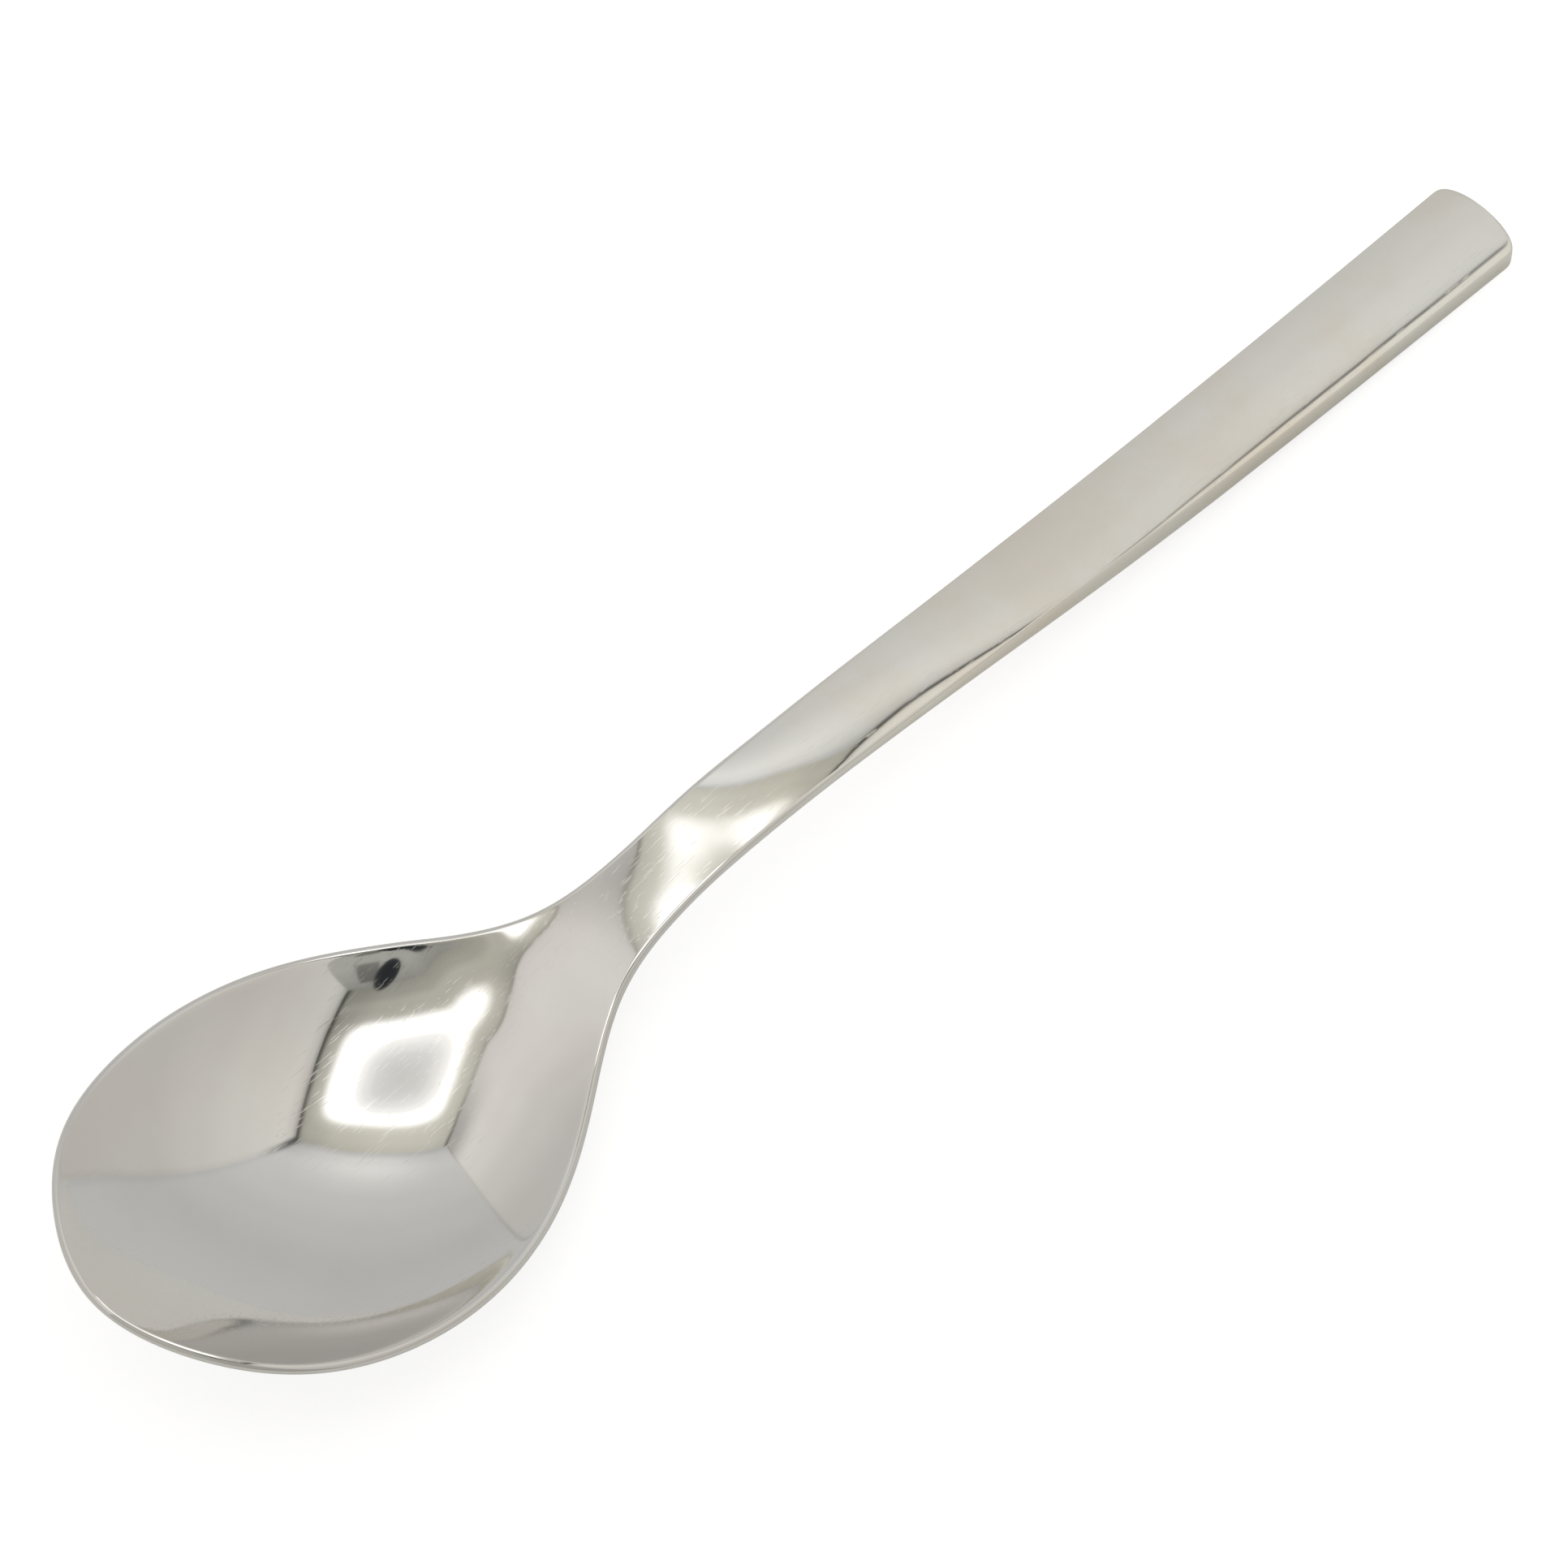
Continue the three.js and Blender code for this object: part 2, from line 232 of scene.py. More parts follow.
def worked_neck(rings):
    """The same rings with the slight turns and dips of the neck, all below a third of a millimetre."""
    x = rings[..., 0] + LENGTH / 2

    def detail(knots):
        at, values = np.array(knots, float).T
        inside = (x > at[0]) & (x < at[-1])
        return np.where(inside, spline(at, values, 0)(np.clip(x, at[0], at[-1]))[0], 0)

    turn = detail(NECK_TURNS)
    middle = keel_height(x)
    y = rings[..., 1]
    z = rings[..., 2] - middle - detail(NECK_BENDS) * y**2
    turned_y = y * np.cos(turn) - z * np.sin(turn)
    turned_z = y * np.sin(turn) + z * np.cos(turn)
    return np.stack([rings[..., 0], turned_y, middle + turned_z + detail(NECK_RISES)], -1)


def spoon_rings():
    """Closed rings of points in metres, one for each station, and the joint's station."""
    x, y, normal, joint = outline_stations()
    to_neck = ease(x, THICKEN_FROM * BOWL_LENGTH, THICKEN_TO * BOWL_LENGTH)
    to_solid = ease(x, HOLLOW_FADES_FROM * BOWL_LENGTH, HOLLOW_FADES_TO * BOWL_LENGTH)
    to_sides = ease(x, SIDES_FROM * BOWL_LENGTH, BOWL_LENGTH + SIDES_TO * HANDLE_LENGTH)
    bowl_share = (y / BOWL_HALF) ** 2
    hollow = BOWL_DEPTH * bowl_share * (1 - to_solid)
    swell = (BOWL_WALL - RIM_THICKNESS) * bowl_share * (1 - to_neck) + NECK_BELLY * to_neck * (1 - to_sides)
    belly = hollow + swell
    solid_bend = crown_bend(x, END_CROWN, END_START)
    bend = crown_bend(x, HANDLE_CROWN, HANDLE_CROWN_X)
    thickness = RIM_THICKNESS + (END_THICKNESS - RIM_THICKNESS) * to_sides
    rounding = RIM_ROUNDING + (HANDLE_EDGE_ROUNDING - RIM_ROUNDING) * to_sides
    power = ROUND_EDGE + (SQUARE_EDGE - ROUND_EDGE) * to_sides
    keel = keel_height(x)
    inset_x = x - normal[:, 0] * rounding
    inset_y = np.maximum(y - normal[:, 1] * rounding, 0)
    edge_fall = EDGE_FALL * to_sides
    top = keel + hollow - bend * inset_y**2 - edge_fall
    thickness = thickness - edge_fall + (solid_bend - bend) * inset_y**2

    def column(values):
        return values[:, None]

    across = np.sin(np.linspace(0, math.pi / 2, FACE_STEPS + 1))
    face_x = column(inset_x) + 0 * across
    face_y = column(inset_y) * across
    face_z = column(keel) + column(hollow) * (1 - hollow_share(across)) - column(bend) * face_y**2
    face_z = face_z - column(edge_fall) * across**EDGE_FALL_POWER
    angle = (0.5 - np.arange(1, EDGE_STEPS) / EDGE_STEPS) * math.pi
    out = column(rounding) * np.cos(angle) ** (2 / column(power))
    up = np.sign(angle) * np.abs(np.sin(angle)) ** (2 / column(power))
    upper = (1 + up) / 2
    beyond = (1 + out / np.maximum(column(inset_y), LEAST_HALF)) ** EDGE_FALL_POWER - 1
    fall = column(bend) * ((column(inset_y) + out) ** 2 - column(inset_y) ** 2) * upper
    fall = fall + column(edge_fall) * beyond * upper
    edge_x = column(inset_x) + column(normal[:, 0]) * out
    edge_y = column(inset_y) + column(normal[:, 1]) * out
    edge_z = column(top) - fall + column(thickness) / 2 * (up - 1)
    back = across[::-1]
    under_z = column(top - thickness) - column(belly) * (1 - back * back)
    half = np.stack(
        [
            np.concatenate([face_x, edge_x, face_x], 1) - LENGTH / 2,
            np.concatenate([face_y, edge_y, column(inset_y) * back], 1),
            np.maximum(np.concatenate([face_z, edge_z, under_z], 1), 0),
        ],
        -1,
    )
    mirrored = half[:, 1:-1][:, ::-1] * (1, -1, 1)
    return worked_neck(np.concatenate([half, mirrored], 1)) * MM, joint


def skin(name, rings, closed_at, material):
    """Smooth closed mesh over the rings, with a flat face at the joint, which is the first or last ring."""
    count, around = rings.shape[:2]
    points = rings.reshape(-1, 3)
    cells = np.round(points / WELD).astype(np.int64)
    _, first, index = np.unique(cells, axis=0, return_index=True, return_inverse=True)
    index = index.ravel()
    faces = []
    for i in range(count - 1):
        for j in range(around):
            k = (j + 1) % around
            corners = [index[a * around + b] for a, b in ((i, j), (i + 1, j), (i + 1, k), (i, k))]
            face = [c for n, c in enumerate(corners) if c != corners[n - 1]]
            if len(set(face)) == len(face) and len(face) > 2:
                faces.append(face)
    start = 0 if closed_at == "start" else (count - 1) * around
    cap = [index[start + j] for j in range(around)]
    faces.append(cap if closed_at == "start" else cap[::-1])
    mesh = bpy.data.meshes.new(name)
    mesh.from_pydata([Vector(points[i]) for i in first], [], faces)
    mesh.validate()
    mesh.materials.append(material)
    obj = bpy.data.objects.new(name, mesh)
    bpy.context.scene.collection.objects.link(obj)
    return obj


def smooth_normals(pieces):
    """Shades each piece with the normals of the whole skin, so that the light runs on over the joint."""
    def is_joint(face):
        return len(face.vertices) > 4

    def place(mesh, vertex):
        return tuple(round(c, PLACE_DIGITS) for c in mesh.vertices[vertex].co)

    sums = {}
    for obj in pieces:
        for face in obj.data.polygons:
            if is_joint(face):
                continue
            for vertex in face.vertices:
                key = place(obj.data, vertex)
                sums[key] = sums.get(key, Vector((0, 0, 0))) + face.normal * face.area
    for obj in pieces:
        mesh = obj.data
        mesh.polygons.foreach_set("use_smooth", [True] * len(mesh.polygons))
        normals = []
        for face in mesh.polygons:
            for vertex in face.vertices:
                own = is_joint(face)
                normals.append(face.normal.copy() if own else sums[place(mesh, vertex)].normalized())
        mesh.normals_split_custom_set(normals)


class Nodes:
    """Short ways to make and link shader nodes."""

    def __init__(self, tree):
        self.tree = tree
        tree.nodes.clear()

    def add(self, kind, inputs=(), **settings):
        node = self.tree.nodes.new(kind)
        for name, value in settings.items():
            setattr(node, name, value)
        for name, value in dict(inputs).items():
            if isinstance(value, bpy.types.NodeSocket):
                self.tree.links.new(value, node.inputs[name])
            else:
                node.inputs[name].default_value = value
        return node

    def math(self, operation, a, b=0.0, c=0.0):
        return self.add("ShaderNodeMath", {0: a, 1: b, 2: c}, operation=operation).outputs[0]

    def remap(self, value, low, high, to_low=0.0, to_high=1.0, smooth=True):
        kind = "SMOOTHSTEP" if smooth else "LINEAR"
        inputs = {"Value": value, "From Min": low, "From Max": high, "To Min": to_low, "To Max": to_high}
        return self.add("ShaderNodeMapRange", inputs, interpolation_type=kind, clamp=True).outputs["Result"]

    def mix(self, share, a, b, blend="MIX"):
        node = self.add("ShaderNodeMix", data_type="RGBA", blend_type=blend)
        for socket, value in ((node.inputs[0], share), (node.inputs[6], a), (node.inputs[7], b)):
            if isinstance(value, bpy.types.NodeSocket):
                self.tree.links.new(value, socket)
            else:
                socket.default_value = value
        return node.outputs[2]

    def ramp(self, value, stops):
        node = self.add("ShaderNodeValToRGB", {"Fac": value})
        node.color_ramp.interpolation = "EASE"
        elements = node.color_ramp.elements
        while len(elements) < len(stops):
            elements.new(1.0)
        for element, (place, colour) in zip(elements, stops):
            element.position = place
            element.color = colour
        return node.outputs["Color"]


# Colours of the metal, clean and tarnished, on the bowl and on the handle, and where along the spoon they
# pass from one to the other
BOWL_METAL, HANDLE_METAL = (0.635, 0.625, 0.60, 1), (0.72, 0.705, 0.65, 1)
BOWL_TARNISH, HANDLE_TARNISH = (0.625, 0.605, 0.575, 1), (0.705, 0.66, 0.58, 1)
BOWL_UNTIL, HANDLE_FROM = -0.020, 0.012
# Scratches: the turn of each direction and the fineness of its streaks, and how far they are drawn out
SCRATCHES = ((0.35, 260.0), (-0.6, 340.0), (1.25, 300.0))
SCRATCH_TILT = (0.1, 0.05)
SCRATCH_STRETCH = (1.0, 26.0, 9.0)
# Depths in metres of the scratches and of the polish's waves
SCRATCH_DEPTH, WAVE_DEPTH = 0.000002, 0.000012
# Roughness of the polish, from clean to smudged, and what a scratch adds to it
POLISH_ROUGHNESS = (0.04, 0.07)
SCRATCH_ROUGHNESS = 0.06


def polished_metal():
    """Mirror-polished metal: a faint warm tarnish, fine handling scratches and slight polishing waves."""
    material = bpy.data.materials.new("polished_metal")
    material.use_nodes = True
    n = Nodes(material.node_tree)
    place = n.add("ShaderNodeTexCoord").outputs["Object"]

    def noise(vector, scale, detail, roughness=0.5):
        inputs = {"Vector": vector, "Scale": scale, "Detail": detail, "Roughness": roughness}
        return n.add("ShaderNodeTexNoise", inputs).outputs["Fac"]

    # Tarnish in soft patches, warm and slightly pink, and more of it on the handle
    patch_share = n.remap(noise(place, 75.0, 5.0, 0.6), 0.40, 0.66)
    handled = n.remap(n.add("ShaderNodeSeparateXYZ", {0: place}).outputs[0], BOWL_UNTIL, HANDLE_FROM)
    clean = n.mix(handled, BOWL_METAL, HANDLE_METAL)
    stained = n.mix(handled, BOWL_TARNISH, HANDLE_TARNISH)
    colour = n.mix(patch_share, clean, stained)

    # Fine scratches: thin streaks in three directions
    streaks = None
    for turn, scale in SCRATCHES:
        drawn_out = {"Vector": place, "Rotation": (*SCRATCH_TILT, turn), "Scale": SCRATCH_STRETCH}
        mapping = n.add("ShaderNodeMapping", drawn_out)
        line = n.remap(noise(mapping.outputs[0], scale, 2.0), 0.66, 0.74)
        streaks = line if streaks is None else n.math("MAXIMUM", streaks, line)
    roughness = n.remap(noise(place, 130.0, 5.0, 0.6), 0.35, 0.75, *POLISH_ROUGHNESS)
    roughness = n.math("MULTIPLY_ADD", streaks, SCRATCH_ROUGHNESS, roughness)

    # Waves left by the polishing, and the scratches on top of them
    waves = noise(place, 170.0, 2.0, 0.4)
    wave_bump = n.add("ShaderNodeBump", {"Strength": 1.0, "Distance": WAVE_DEPTH, "Height": waves})
    scratch_bump = n.add(
        "ShaderNodeBump",
        {"Strength": 0.5, "Distance": SCRATCH_DEPTH, "Height": streaks, "Normal": wave_bump.outputs[0]},
        invert=True,
    )
    shader = n.add(
        "ShaderNodeBsdfPrincipled",
        {"Base Color": colour, "Metallic": 1.0, "Roughness": roughness, "Normal": scratch_bump.outputs[0]},
    )
    n.add("ShaderNodeOutputMaterial", {"Surface": shader.outputs[0]})
    return material


metal = polished_metal()
all_rings, joint_ring = spoon_rings()
bowl_surface = skin("bowl_surface", all_rings[: joint_ring + 1], "end", metal)
handle_surface = skin("handle_surface", all_rings[joint_ring:], "start", metal)
smooth_normals([bowl_surface, handle_surface])
for piece, node in ((bowl_surface, "bowl"), (handle_surface, "handle")):
    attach(piece, "root")
    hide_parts(node)

# The photograph's camera: how high it looks down, which way, from how far and at which point
CAMERA_ELEVATION = math.radians(61.51)
CAMERA_HEADING = math.radians(43.81)
CAMERA_DISTANCE = 0.560
AIM = Vector((0.003, 0, 0.005))
IMAGE_SIZE = 1932
AIM_PIXEL = (1054.3, 892.4)
PIXELS_PER_METRE = 16090.0
SENSOR = 36.0

level_forward = Vector((math.sin(CAMERA_HEADING), math.cos(CAMERA_HEADING), 0))
level_right = Vector((math.cos(CAMERA_HEADING), -math.sin(CAMERA_HEADING), 0))
forward = level_forward * math.cos(CAMERA_ELEVATION) - Vector((0, 0, math.sin(CAMERA_ELEVATION)))
camera_data = bpy.data.cameras.new("camera")
camera_data.sensor_width = SENSOR
camera_data.lens = PIXELS_PER_METRE * CAMERA_DISTANCE / IMAGE_SIZE * SENSOR
camera_data.shift_x = (IMAGE_SIZE / 2 - AIM_PIXEL[0]) / IMAGE_SIZE
camera_data.shift_y = (AIM_PIXEL[1] - IMAGE_SIZE / 2) / IMAGE_SIZE
camera_data.clip_start = 0.01
camera = bpy.data.objects.new("camera", camera_data)
camera.location = AIM - forward * CAMERA_DISTANCE
camera.rotation_euler = forward.to_track_quat("-Z", "Y").to_euler()
bpy.context.scene.collection.objects.link(camera)
bpy.context.scene.camera = camera

# The light tent: a cloth cube round the spoon, turned a little from the camera, seen only in the metal. Its
# left and right walls lean, so they stand elsewhere on the floor than under the ceiling
TENT_TURN = math.radians(6.3)
CEILING, BACK, FRONT, LEFT, RIGHT = 0.738, 0.355, 0.340, 0.362, 0.243
LEFT_FOOT, RIGHT_FOOT = 0.325, 0.315
TENT_CENTRE = Vector((0.003, 0, 0))
tent_forward = level_forward * math.cos(TENT_TURN) + level_right * math.sin(TENT_TURN)
tent_right = level_right * math.cos(TENT_TURN) - level_forward * math.sin(TENT_TURN)
tent_up = Vector((0, 0, 1))
# Sizes of the walls along their directions, with their middles
ACROSS = (LEFT + RIGHT, (RIGHT - LEFT) / 2)
ALONG = (BACK + FRONT, (BACK - FRONT) / 2)
UPRIGHT = (CEILING, CEILING / 2)
FULL_ACROSS = (LEFT + RIGHT_FOOT, (RIGHT_FOOT - LEFT) / 2)
left_rise = tent_up - tent_right * (LEFT - LEFT_FOOT) / CEILING
right_rise = tent_up + tent_right * (RIGHT - RIGHT_FOOT) / CEILING
# How much brighter the whole tent glows than the levels below, which give its tones against each other
TENT_LEVEL = 1.27
# The lamp behind the ceiling: its power, its square, the softer square of its levels, how sharp the corners
# of both are, and the tints of the light that it spills and of the margin
LAMP_POWER = 1.5
LAMP_CENTRE, LAMP_HALF = (-0.064, 0.022), (0.221, 0.197)
PALE_CENTRE, PALE_HALF = (-0.095, 0.030), (0.235, 0.215)
LAMP_CORNERS, PALE_CORNERS = 6.0, 3.0
LAMP_SPILL = (0.75, 0.74, 0.70, 1)
OLIVE = (1.01, 1.0, 0.895)
# The lamp's soft edge and the reach of its spill, in shares of its half sizes, and how strong the spill is
LAMP_EDGE, SPILL_REACH = (0.87, 1.13), (1.0, 1.35)
SPILL_SHARE = 0.22
# Levels of the lamp by the share of the pale square's half size, and of the margin round it by the place
LAMP_LEVELS = [(0, 0.49), (0.2, 0.51), (0.35, 0.55), (0.48, 0.64), (0.6, 0.75), (0.78, 1.2)]
MARGIN_ALONG = [
    (-FRONT, 0.25), (-0.29, 0.28), (-0.25, 0.35), (-0.20, 0.31), (-0.10, 0.40), (0.10, 0.46), (0.29, 0.46),
    (BACK, 0.41),
]
MARGIN_ACROSS = [(-LEFT, 0.84), (-0.25, 0.98), (-0.10, 1.0), (0.06, 0.90), (0.18, 0.73), (RIGHT, 0.60)]
# Levels of the walls by the height, and their tints
BACK_LEVELS = [
    (0, 0.57), (0.13, 0.545), (0.26, 0.58), (0.39, 0.63), (0.47, 0.65), (0.59, 0.68), (0.66, 0.65),
    (CEILING, 0.52),
]
RIGHT_LEVELS = [
    (0, 0.55), (0.17, 0.57), (0.27, 0.63), (0.40, 0.69), (0.52, 0.72), (0.63, 0.75), (0.69, 0.68),
    (CEILING, 0.45),
]
LEFT_LEVELS = [
    (0, 0.56), (0.10, 0.57), (0.28, 0.66), (0.42, 0.75), (0.52, 0.78), (0.60, 0.77), (0.68, 0.74),
    (CEILING, 0.70),
]
FRONT_LEVELS = [
    (0, 0.46), (0.30, 0.48), (0.45, 0.52), (0.54, 0.54), (0.62, 0.47), (0.70, 0.40), (CEILING, 0.35),
]
RIGHT_TINT, LEFT_TINT, FRONT_TINT = (1.02, 1, 0.957), (1.018, 1, 0.975), (1, 1, 0.94)
# Dark seams of the ceiling: where their soft sides lie, in metres from its right and left edges, and their
# levels. The left one grows darker over a stretch towards the back
RIGHT_SEAM, LEFT_SEAM = (0.026, 0.004), (0.003, 0.020)
RIGHT_SEAM_LEVEL = 0.22
LEFT_SEAM_STRETCH, LEFT_SEAM_LEVELS = (0.10, 0.33), (0.72, 0.30)
# Dark upright seams in the back right corner: the same, and they grow darker over a stretch of their height
UPRIGHT_SEAM = (0.004, 0.034)
UPRIGHT_SEAM_STRETCH, UPRIGHT_SEAM_LEVELS = (0.48, 0.72), (0.92, 0.22)
# Faint lines at the left wall's upright edges
EDGE_LINE, EDGE_LINE_LEVEL = (0.012, 0.003), 0.8
# The pool of lamp light on the back wall: its centre, the half sizes of its core and its reach, and its gain
POOL_CENTRE, POOL_CORE, POOL_REACH = (-0.06, 0.625), (0.02, 0.01), (0.27, 0.24)
POOL_GAIN = 0.27
# The dark strip on the front wall: its centre, the half sizes of its core and its reach, and its level
STRIP_CENTRE, STRIP_CORE, STRIP_REACH = (0.152, 0.60), (0.030, 0.07), (0.040, 0.08)
STRIP_LEVEL = 0.45
# Dim upper corners of the back and left walls: the stretches along and up over which they dim, and the loss
BACK_CORNER, BACK_CORNER_UP, BACK_CORNER_DIM = (0.12, 0.27), (0.52, 0.72), 0.22
LEFT_CORNER, LEFT_CORNER_UP, LEFT_CORNER_DIM = (0.0, 0.30), (0.52, 0.68), 0.36
# The right wall is dimmer towards the front, and the front to the right: the stretch and the dimmer level
RIGHT_FALL, RIGHT_FALL_LEVEL = (-0.25, 0.15), 0.88
FRONT_FALL, FRONT_FALL_LEVEL = (-0.06, 0.02), 0.82


def tent_wall(name, place, along, upward, width, height, material):
    """Flat wall whose own x and y run from -1 to 1 along its two directions. The camera doesn't see it."""
    mesh = bpy.data.meshes.new(name)
    mesh.from_pydata([(-1, -1, 0), (1, -1, 0), (1, 1, 0), (-1, 1, 0)], [], [(0, 1, 2, 3)])
    mesh.materials.append(material)
    wall = bpy.data.objects.new(name, mesh)
    facing = along.cross(upward).normalized()
    turn = Matrix((along * width[0] / 2, upward * height[0] / 2, facing)).transposed().to_4x4()
    middle = TENT_CENTRE + place + along * width[1] + upward * height[1]
    wall.matrix_world = Matrix.Translation(middle) @ turn
    wall.visible_camera = False
    wall.visible_shadow = False
    bpy.context.scene.collection.objects.link(wall)


def wall_coordinates(n, width, height):
    """Metres along the wall's two directions from the tent's centre."""
    place = n.add("ShaderNodeTexCoord").outputs["Object"]
    split = n.add("ShaderNodeSeparateXYZ", {0: place})
    sizes = zip(split.outputs, (width, height))
    return [n.math("MULTIPLY_ADD", share, size / 2, middle) for share, (size, middle) in sizes]


def glow(name, build):
    """Glowing cloth whose colour and strength are built by a function. A plain strength stays as it is."""
    material = bpy.data.materials.new(name)
    material.use_nodes = True
    n = Nodes(material.node_tree)
    colour, strength = build(n)
    if isinstance(strength, bpy.types.NodeSocket):
        strength = n.math("MULTIPLY", strength, TENT_LEVEL)
    emission = n.add("ShaderNodeEmission", {"Color": colour, "Strength": strength})
    n.add("ShaderNodeOutputMaterial", {"Surface": emission.outputs[0]})
    return material


def levels(n, value, low, high, stops, tint=(1, 1, 1)):
    """Light level along a value: stops give the value and its level, between the low and high value."""
    share = n.remap(value, low, high, smooth=False)
    colours = []
    for at, level in stops:
        colours.append(((at - low) / (high - low), (*(level * part for part in tint), 1)))
    return n.ramp(share, colours)


def reach(n, x, y, centre, half, power):
    """Distance from a centre in shares of the half sizes, square with soft corners."""
    total = None
    for value, middle, size in ((x, centre[0], half[0]), (y, centre[1], half[1])):
        share = n.math("ABSOLUTE", n.math("MULTIPLY_ADD", value, 1 / size, -middle / size))
        share = n.math("POWER", share, power)
        total = share if total is None else n.math("ADD", total, share)
    return n.math("POWER", total, 1 / power)


def off_middle(n, value, middle):
    """Distance of a value from a middle, to either side."""
    return n.math("ABSOLUTE", n.math("SUBTRACT", value, middle))


def ceiling_light(n):
    """A square of lamp light behind the cloth, whitest near its edge, in a dim margin with dark seams."""
    x, y = wall_coordinates(n, ACROSS, ALONG)
    lamp = levels(n, reach(n, x, y, PALE_CENTRE, PALE_HALF, PALE_CORNERS), 0.0, 1.0, LAMP_LEVELS)
    along = levels(n, y, -FRONT, BACK, MARGIN_ALONG, OLIVE)
    across = levels(n, x, -LEFT, RIGHT, MARGIN_ACROSS)
    margin = n.mix(1.0, along, across, "MULTIPLY")
    outer = reach(n, x, y, LAMP_CENTRE, LAMP_HALF, LAMP_CORNERS)
    margin = n.mix(n.remap(outer, *SPILL_REACH, SPILL_SHARE, 0.0), margin, LAMP_SPILL)
    colour = n.mix(n.remap(outer, *LAMP_EDGE, 1.0, 0.0), margin, lamp)
    right_seam = n.remap(x, RIGHT - RIGHT_SEAM[0], RIGHT - RIGHT_SEAM[1], 1.0, RIGHT_SEAM_LEVEL)
    left_dark = n.remap(y, *LEFT_SEAM_STRETCH, *LEFT_SEAM_LEVELS)
    left_seam = n.remap(x, -LEFT + LEFT_SEAM[0], -LEFT + LEFT_SEAM[1], left_dark, 1.0)
    seams = n.math("MULTIPLY", right_seam, left_seam)
    return colour, n.math("MULTIPLY", seams, LAMP_POWER)


def upright_edges(n, value, width):
    """Faint dark lines at a wall's two upright edges."""
    half = width[0] / 2
    away = off_middle(n, value, width[1])
    return n.remap(away, half - EDGE_LINE[0], half - EDGE_LINE[1], 1.0, EDGE_LINE_LEVEL)


def upright_seam(n, distance, height):
    """Dark seam at an upright edge of the tent, strongest under the ceiling."""
    dark = n.remap(height, *UPRIGHT_SEAM_STRETCH, *UPRIGHT_SEAM_LEVELS)
    return n.remap(distance, *UPRIGHT_SEAM, dark, 1.0)


def back_light(n):
    """Cloth with a soft pool of lamp light near its top, dimmer in its upper right corner."""
    x, z = wall_coordinates(n, FULL_ACROSS, UPRIGHT)
    plain = levels(n, z, 0.0, CEILING, BACK_LEVELS)
    pool_across = n.remap(off_middle(n, x, POOL_CENTRE[0]), POOL_CORE[0], POOL_REACH[0], 1.0, 0.0)
    pool_up = n.remap(off_middle(n, z, POOL_CENTRE[1]), POOL_CORE[1], POOL_REACH[1], 1.0, 0.0)
    pool = n.math("MULTIPLY", pool_across, pool_up)
    strength = n.math("MULTIPLY_ADD", pool, POOL_GAIN, 1.0)
    corner = n.math("MULTIPLY", n.remap(x, *BACK_CORNER), n.remap(z, *BACK_CORNER_UP))
    dim = n.math("MULTIPLY_ADD", corner, -BACK_CORNER_DIM, 1.0)
    right_edge = n.math("MULTIPLY_ADD", z, (RIGHT - RIGHT_FOOT) / CEILING, RIGHT_FOOT)
    seam = upright_seam(n, n.math("SUBTRACT", right_edge, x), z)
    return plain, n.math("MULTIPLY", n.math("MULTIPLY", strength, dim), seam)


def right_light(n):
    """Cloth that is dimmer towards the front, with a dark seam at the back."""
    y, z = wall_coordinates(n, ALONG, UPRIGHT)
    plain = levels(n, z, 0.0, CEILING, RIGHT_LEVELS, RIGHT_TINT)
    fore = n.remap(y, *RIGHT_FALL, RIGHT_FALL_LEVEL, 1.0)
    return plain, n.math("MULTIPLY", fore, upright_seam(n, n.math("SUBTRACT", BACK, y), z))


def left_light(n):
    """Cloth that is dimmer in its upper back corner, with faint lines at its edges."""
    y, z = wall_coordinates(n, ALONG, UPRIGHT)
    plain = levels(n, z, 0.0, CEILING, LEFT_LEVELS, LEFT_TINT)
    corner = n.remap(y, *LEFT_CORNER)
    high = n.remap(z, *LEFT_CORNER_UP, 0.0, LEFT_CORNER_DIM)
    dim = n.math("MULTIPLY_ADD", n.math("MULTIPLY", corner, high), -1.0, 1.0)
    return plain, n.math("MULTIPLY", dim, upright_edges(n, y, ALONG))


def front_light(n):
    """The open side: dim near the ceiling and to the right, with a darker strip beside the lens."""
    x, z = wall_coordinates(n, FULL_ACROSS, UPRIGHT)
    plain = levels(n, z, 0.0, CEILING, FRONT_LEVELS, FRONT_TINT)
    fall = n.remap(x, *FRONT_FALL, 1.0, FRONT_FALL_LEVEL)
    strip_across = n.remap(off_middle(n, x, STRIP_CENTRE[0]), STRIP_CORE[0], STRIP_REACH[0], STRIP_LEVEL, 1.0)
    strip_up = n.remap(off_middle(n, z, STRIP_CENTRE[1]), STRIP_CORE[1], STRIP_REACH[1], 1.0, 0.0)
    strip = n.mix(strip_up, (1, 1, 1, 1), strip_across)
    return n.mix(1.0, plain, strip, "MULTIPLY"), fall


for name, place, along, upward, width, height, light in (
    ("tent_ceiling", tent_up * CEILING, tent_right, tent_forward, ACROSS, ALONG, ceiling_light),
    ("tent_back", tent_forward * BACK, tent_right, tent_up, FULL_ACROSS, UPRIGHT, back_light),
    ("tent_front", tent_forward * -FRONT, tent_right, tent_up, FULL_ACROSS, UPRIGHT, front_light),
    ("tent_left", tent_right * -LEFT_FOOT, tent_forward, left_rise, ALONG, UPRIGHT, left_light),
    ("tent_right", tent_right * RIGHT_FOOT, tent_forward, right_rise, ALONG, UPRIGHT, right_light),
):
    tent_wall(name, place, along, upward, width, height, glow(name, light))

# The dark front of the lens, which the bowl reflects: its place beside the camera, half sizes and colour
LENS_PLACE, LENS_HALF = (0.038, -0.008), (0.028, 0.046)
LENS_COLOUR = (0.029, 0.033, 0.038, 1)
LENS_CORNERS = 48


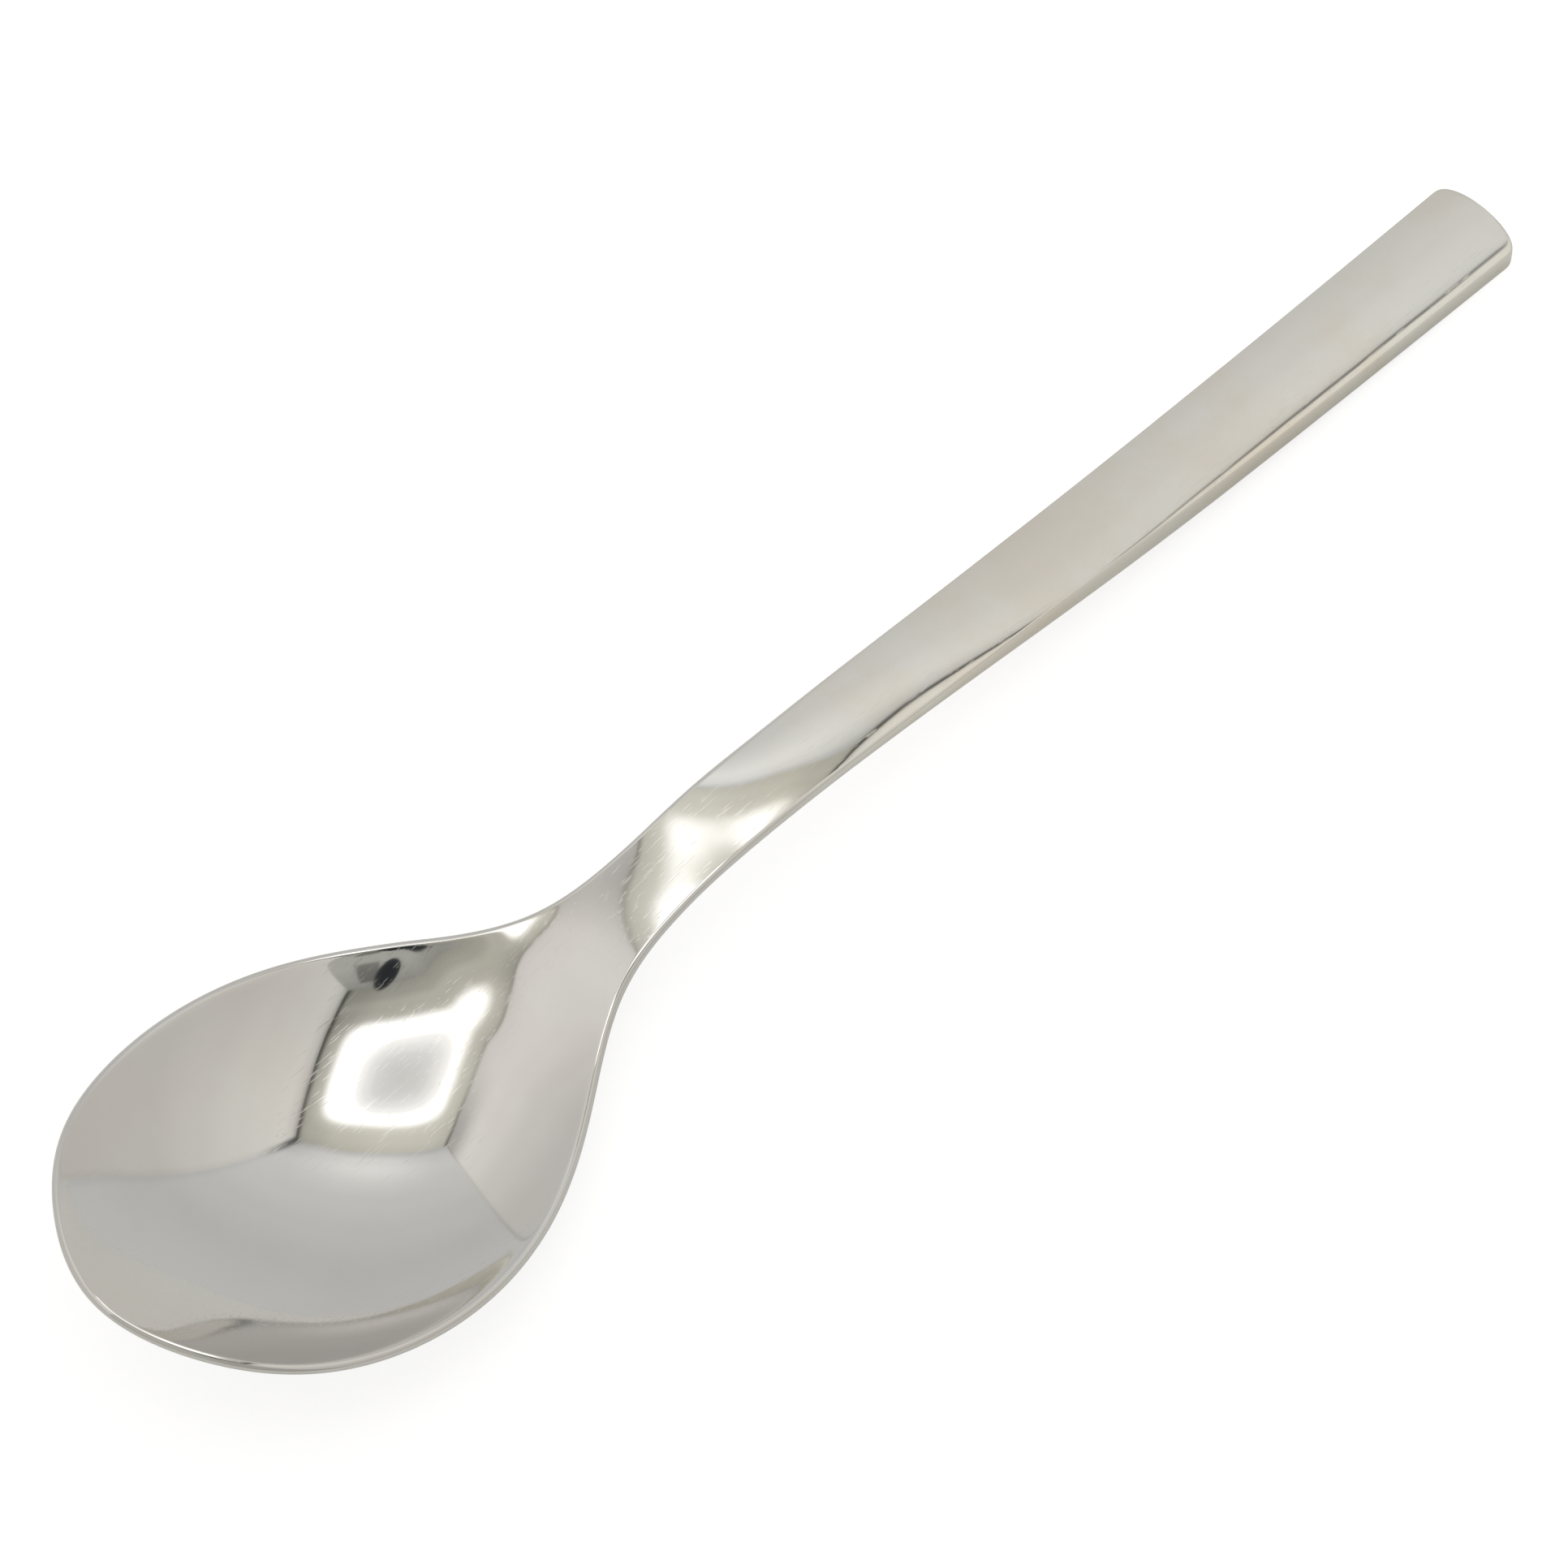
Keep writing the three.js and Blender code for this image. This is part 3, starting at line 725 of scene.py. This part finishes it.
def lens_front():
    """Flat dark oval beside the camera's own place, facing the spoon."""
    name = "lens_front"
    mesh = bpy.data.meshes.new(name)
    angles = [i * math.tau / LENS_CORNERS for i in range(LENS_CORNERS)]
    points = [(LENS_HALF[0] * math.cos(angle), LENS_HALF[1] * math.sin(angle), 0) for angle in angles]
    mesh.from_pydata(points, [], [tuple(range(LENS_CORNERS))])
    mesh.materials.append(glow(name, lambda n: (LENS_COLOUR, 1.0)))
    disc = bpy.data.objects.new(name, mesh)
    turn = camera.rotation_euler.to_matrix().to_4x4()
    disc.matrix_world = Matrix.Translation(camera.location) @ turn @ Matrix.Translation((*LENS_PLACE, 0))
    disc.visible_camera = False
    disc.visible_shadow = False
    disc.visible_diffuse = False
    bpy.context.scene.collection.objects.link(disc)


lens_front()

# The floor: its half size, and how far it lies below the spoon, so that the two don't share a surface. Then
# its cloth, how strongly it shows the shadow to the camera, and the white that is added to that
FLOOR_HALF = 6.0
FLOOR_DROP = 0.00002
FLOOR_CLOTH = (0.90, 0.90, 0.885, 1)
SHADOW_CLOTH = (0.36, 0.36, 0.36, 1)
FLOOR_WHITE = 0.78


def white_floor():
    """Pale floor: white to the camera apart from the soft shadow, and plain pale cloth to the metal."""
    material = bpy.data.materials.new("white_floor")
    material.use_nodes = True
    n = Nodes(material.node_tree)
    seen_by_camera = n.add("ShaderNodeLightPath").outputs["Is Camera Ray"]
    cloth = n.add("ShaderNodeBsdfDiffuse", {"Color": FLOOR_CLOTH})
    shadow = n.add("ShaderNodeBsdfDiffuse", {"Color": SHADOW_CLOTH})
    white = n.add("ShaderNodeEmission", {"Color": (1, 1, 1, 1), "Strength": FLOOR_WHITE})
    seen = n.add("ShaderNodeAddShader", {0: shadow.outputs[0], 1: white.outputs[0]})
    surface = n.add("ShaderNodeMixShader", {0: seen_by_camera, 1: cloth.outputs[0], 2: seen.outputs[0]})
    n.add("ShaderNodeOutputMaterial", {"Surface": surface.outputs[0]})
    mesh = bpy.data.meshes.new("floor")
    corners = [(a * FLOOR_HALF, b * FLOOR_HALF, 0) for a, b in ((-1, -1), (1, -1), (1, 1), (-1, 1))]
    mesh.from_pydata(corners, [], [(0, 1, 2, 3)])
    mesh.materials.append(material)
    floor = bpy.data.objects.new("floor", mesh)
    floor.location.z = -FLOOR_DROP
    bpy.context.scene.collection.objects.link(floor)


white_floor()

# White all round for the camera, and a plain light level for everything else
WORLD_LEVEL = 0.83
world = bpy.data.worlds.new("studio")
world.use_nodes = True
world_nodes = Nodes(world.node_tree)
to_camera = world_nodes.add("ShaderNodeLightPath").outputs["Is Camera Ray"]
world_level = world_nodes.remap(to_camera, 0.0, 1.0, WORLD_LEVEL, 1.0, smooth=False)
background = world_nodes.add("ShaderNodeBackground", {"Color": (1, 1, 1, 1), "Strength": world_level})
world_nodes.add("ShaderNodeOutputWorld", {"Surface": background.outputs[0]})
bpy.context.scene.world = world

bpy.context.scene.view_settings.view_transform = "Standard"
